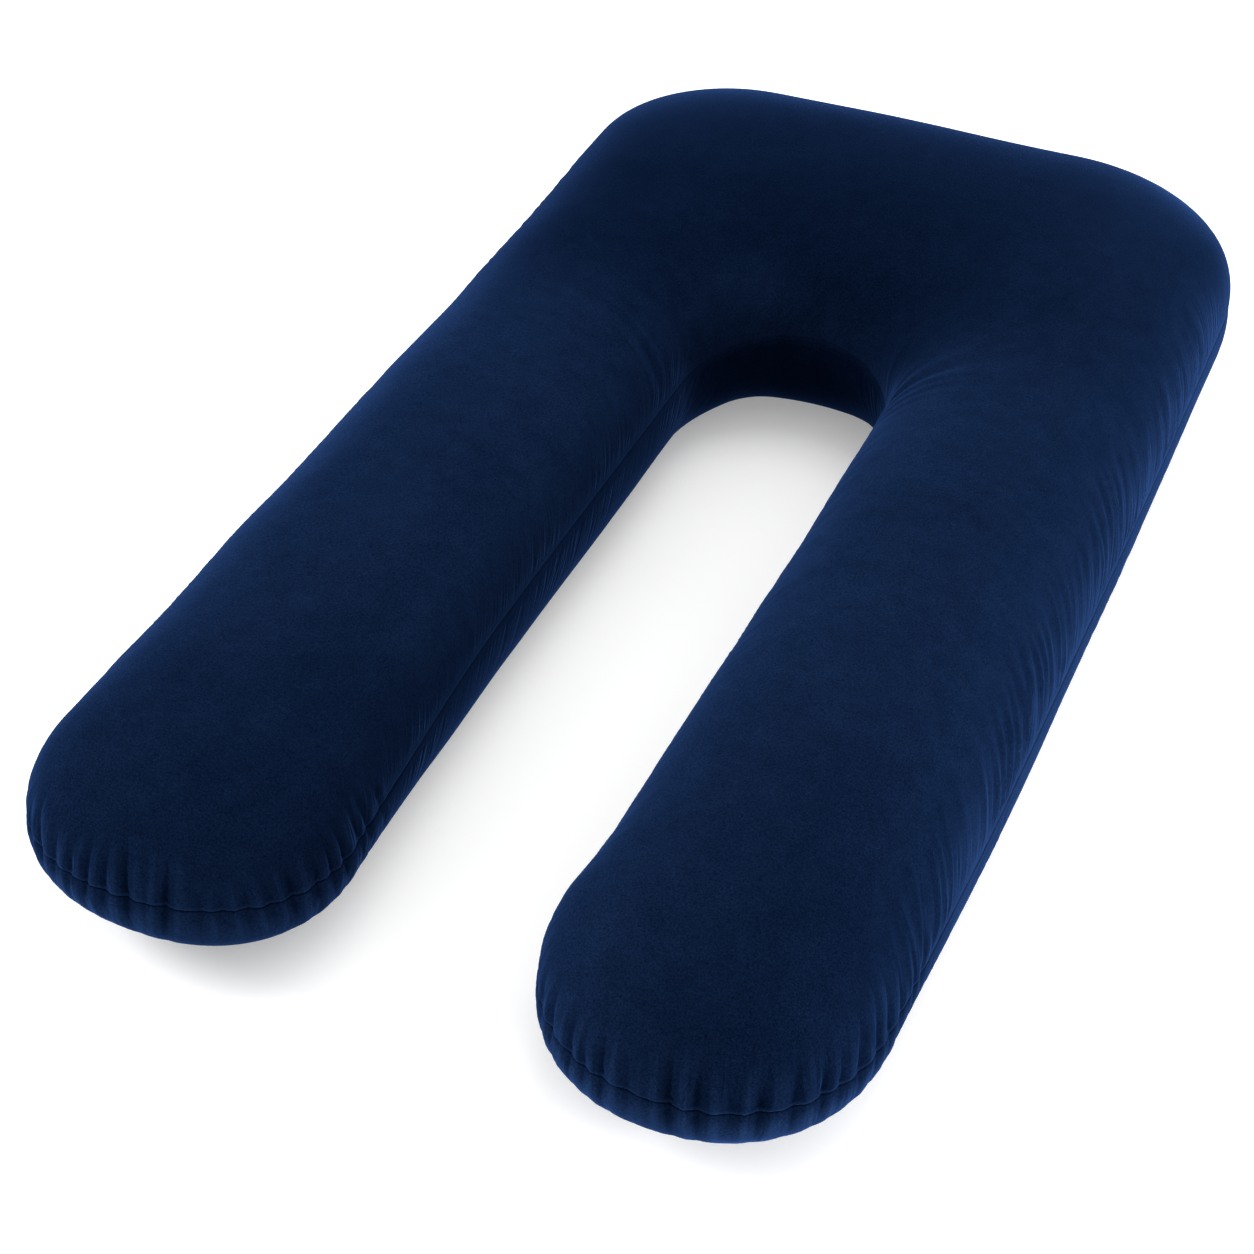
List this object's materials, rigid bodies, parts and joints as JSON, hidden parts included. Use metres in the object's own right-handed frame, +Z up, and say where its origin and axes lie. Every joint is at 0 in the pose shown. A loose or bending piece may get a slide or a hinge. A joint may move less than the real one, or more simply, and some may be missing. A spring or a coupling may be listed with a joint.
{
  "type": "pregnancy pillow",
  "caption": "Long U-shaped full-body pillow in plush fabric, with a broad head end, round-ended legs and an open slot between the legs for the body.",
  "frame": {"origin": "middle of the bounding box, on the ground that the pillow lies on", "axes": "+Z up, +Y along the legs toward the head end, +X across the legs to the right when seen from the leg ends"},
  "size_m": [0.8036, 1.5386, 0.238],
  "materials": {
    "velvet": "deep navy velvet with a fine pile and a soft sheen"
  },
  "bodies": {
    "root": {"pillow": "velvet"}
  },
  "joints": []
}
